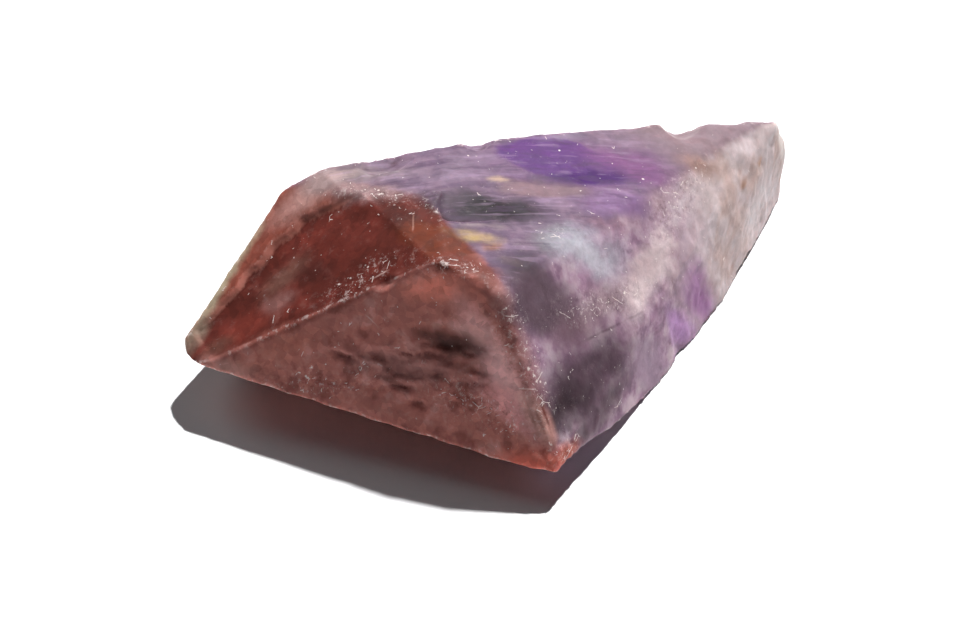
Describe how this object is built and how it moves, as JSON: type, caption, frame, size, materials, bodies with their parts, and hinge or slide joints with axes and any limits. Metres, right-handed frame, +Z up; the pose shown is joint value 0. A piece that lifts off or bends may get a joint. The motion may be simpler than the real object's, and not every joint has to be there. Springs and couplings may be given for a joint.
{
  "type": "crystal point",
  "caption": "Single quartz crystal point with a faceted red cap, a smoky violet body and a pale broken tail, lying flat on its underside.",
  "frame": {"origin": "middle of the box around its footprint, on the surface it rests on", "axes": "+X from the red tip towards the pale broken tail, +Y towards its back, +Z up as it lies"},
  "size_m": [0.0742, 0.048, 0.0206],
  "materials": {
    "quartz": "broken quartz, satin with glassy edges, partly see-through"
  },
  "bodies": {
    "root": {"crystal": "quartz"}
  },
  "joints": []
}
